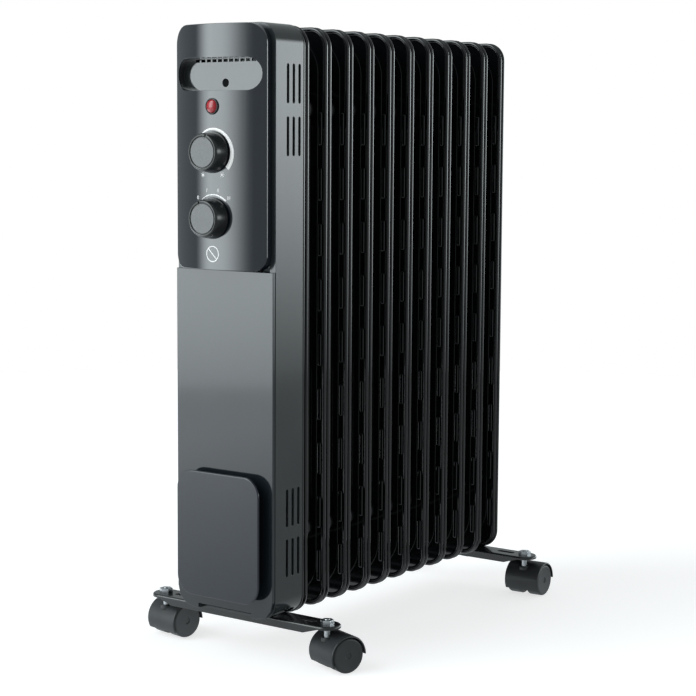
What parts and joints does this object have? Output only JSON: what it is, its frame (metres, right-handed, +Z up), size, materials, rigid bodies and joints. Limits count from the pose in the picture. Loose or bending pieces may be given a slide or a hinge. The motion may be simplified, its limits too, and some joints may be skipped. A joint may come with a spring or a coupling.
{
  "type": "oil filled radiator heater",
  "caption": "Upright oil filled column heater: pressed fins on two headers, a front control box with dials, a cord winder plate and swivel casters under two foot bars.",
  "frame": {"origin": "on the floor, under the middle of the heater's overall box at rest", "axes": "+Z up, the control box faces -Y, the fins are stacked along +Y, +X is to the right of a person who faces the controls"},
  "size_m": [0.2704, 0.4774, 0.6256],
  "materials": {
    "fin_enamel": "gloss",
    "bar_enamel": "semi-gloss",
    "element_sheath": "satin",
    "brass": "satin",
    "galvanised_steel": "matt",
    "housing_plastic": "satin",
    "cover_plastic": "satin",
    "panel_gloss": "high gloss",
    "recess_plastic": "matt",
    "trim_black": "gloss",
    "lamp_red": "translucent gloss",
    "switch_ceramic": "matt",
    "switch_plastic": "matt",
    "terminal_nylon": "satin",
    "wire_insulation": "satin",
    "zinc": "zinc plated",
    "winder_plastic": "satin gloss",
    "knob_plastic": "satin",
    "knob_cap_grey": "satin",
    "caster_nylon": "matt"
  },
  "bodies": {
    "heater": {"fin_01": "fin_enamel", "fin_02": "fin_enamel", "fin_03": "fin_enamel", "fin_04": "fin_enamel", "fin_05": "fin_enamel", "fin_06": "fin_enamel", "fin_07": "fin_enamel", "fin_08": "fin_enamel", "fin_09": "fin_enamel", "fin_10": "fin_enamel", "fin_11": "fin_enamel", "header_rings": "fin_enamel", "header_caps": "fin_enamel", "heating_elements": "element_sheath", "element_flange": "brass", "heat_shield": "galvanised_steel", "control_housing": "housing_plastic", "lower_front_cover": "cover_plastic", "control_panel": "panel_gloss", "recess_tray": "recess_plastic", "lamp_bezel": "trim_black", "lamp_lens": "lamp_red", "thermostat_body": "switch_ceramic", "selector_body": "switch_plastic", "thermal_cutout": "switch_ceramic", "terminal_block": "terminal_nylon", "wiring": "wire_insulation", "tilt_switch_body": "terminal_nylon", "cord_gland": "trim_black", "winder_neck": "winder_plastic", "winder_plate": "winder_plastic", "front_foot_bar": "bar_enamel", "rear_foot_bar": "bar_enamel", "front_bar_screws": "zinc", "rear_bar_clamp": "zinc", "caster_stems": "zinc", "caster_nuts": "zinc"},
    "thermostat_dial": {"thermostat_shaft": "zinc", "thermostat_knob": "knob_plastic", "thermostat_cap": "knob_cap_grey"},
    "selector_dial": {"selector_shaft": "zinc", "selector_knob": "knob_plastic", "selector_cap": "knob_cap_grey"},
    "tilt_weight": {"tilt_pendulum": "zinc"},
    "caster_front_right": {"hood_front_right": "caster_nylon", "axle_front_right": "zinc"},
    "wheel_front_right_inner": {"wheel_front_right_inner": "caster_nylon"},
    "wheel_front_right_outer": {"wheel_front_right_outer": "caster_nylon"},
    "caster_front_left": {"hood_front_left": "caster_nylon", "axle_front_left": "zinc"},
    "wheel_front_left_inner": {"wheel_front_left_inner": "caster_nylon"},
    "wheel_front_left_outer": {"wheel_front_left_outer": "caster_nylon"},
    "caster_rear_right": {"hood_rear_right": "caster_nylon", "axle_rear_right": "zinc"},
    "wheel_rear_right_inner": {"wheel_rear_right_inner": "caster_nylon"},
    "wheel_rear_right_outer": {"wheel_rear_right_outer": "caster_nylon"},
    "caster_rear_left": {"hood_rear_left": "caster_nylon", "axle_rear_left": "zinc"},
    "wheel_rear_left_inner": {"wheel_rear_left_inner": "caster_nylon"},
    "wheel_rear_left_outer": {"wheel_rear_left_outer": "caster_nylon"}
  },
  "joints": [
    {"name": "thermostat_turn", "type": "hinge", "parent": "heater", "child": "thermostat_dial", "pos_m": [0, -0.22347, 0.5026], "axis": [0, 1, 0], "range_deg": [-164, 141]},
    {"name": "selector_turn", "type": "hinge", "parent": "heater", "child": "selector_dial", "pos_m": [0, -0.22347, 0.4395], "axis": [0, 1, 0], "range_deg": [-30, 60]},
    {"name": "tilt_swing", "type": "hinge", "parent": "heater", "child": "tilt_weight", "pos_m": [0, -0.17577, 0.0884], "axis": [0, 1, 0], "range_deg": [-25, 25]},
    {"name": "swivel_front_right", "type": "hinge", "parent": "heater", "child": "caster_front_right", "pos_m": [0.1045, -0.17547, 0.035], "axis": [0, 0, 1], "continuous": true},
    {"name": "roll_front_right_inner", "type": "hinge", "parent": "caster_front_right", "child": "wheel_front_right_inner", "pos_m": [0.1086, -0.16419, 0.0175], "axis": [0.9397, -0.342, 0], "continuous": true},
    {"name": "roll_front_right_outer", "type": "hinge", "parent": "caster_front_right", "child": "wheel_front_right_outer", "pos_m": [0.1086, -0.16419, 0.0175], "axis": [0.9397, -0.342, 0], "continuous": true},
    {"name": "swivel_front_left", "type": "hinge", "parent": "heater", "child": "caster_front_left", "pos_m": [-0.1045, -0.17547, 0.035], "axis": [0, 0, 1], "continuous": true},
    {"name": "roll_front_left_inner", "type": "hinge", "parent": "caster_front_left", "child": "wheel_front_left_inner", "pos_m": [-0.10262, -0.16362, 0.0175], "axis": [0.9877, -0.1564, 0], "continuous": true},
    {"name": "roll_front_left_outer", "type": "hinge", "parent": "caster_front_left", "child": "wheel_front_left_outer", "pos_m": [-0.10262, -0.16362, 0.0175], "axis": [0.9877, -0.1564, 0], "continuous": true},
    {"name": "swivel_rear_right", "type": "hinge", "parent": "heater", "child": "caster_rear_right", "pos_m": [0.1045, 0.20123, 0.035], "axis": [0, 0, 1], "continuous": true},
    {"name": "roll_rear_right_inner", "type": "hinge", "parent": "caster_rear_right", "child": "wheel_rear_right_inner", "pos_m": [0.10387, 0.21321, 0.0175], "axis": [0.9986, 0.0523, 0], "continuous": true},
    {"name": "roll_rear_right_outer", "type": "hinge", "parent": "caster_rear_right", "child": "wheel_rear_right_outer", "pos_m": [0.10387, 0.21321, 0.0175], "axis": [0.9986, 0.0523, 0], "continuous": true},
    {"name": "swivel_rear_left", "type": "hinge", "parent": "heater", "child": "caster_rear_left", "pos_m": [-0.1045, 0.20123, 0.035], "axis": [0, 0, 1], "continuous": true},
    {"name": "roll_rear_left_inner", "type": "hinge", "parent": "caster_rear_left", "child": "wheel_rear_left_inner", "pos_m": [-0.1086, 0.21251, 0.0175], "axis": [0.9397, 0.342, 0], "continuous": true},
    {"name": "roll_rear_left_outer", "type": "hinge", "parent": "caster_rear_left", "child": "wheel_rear_left_outer", "pos_m": [-0.1086, 0.21251, 0.0175], "axis": [0.9397, 0.342, 0], "continuous": true}
  ]
}
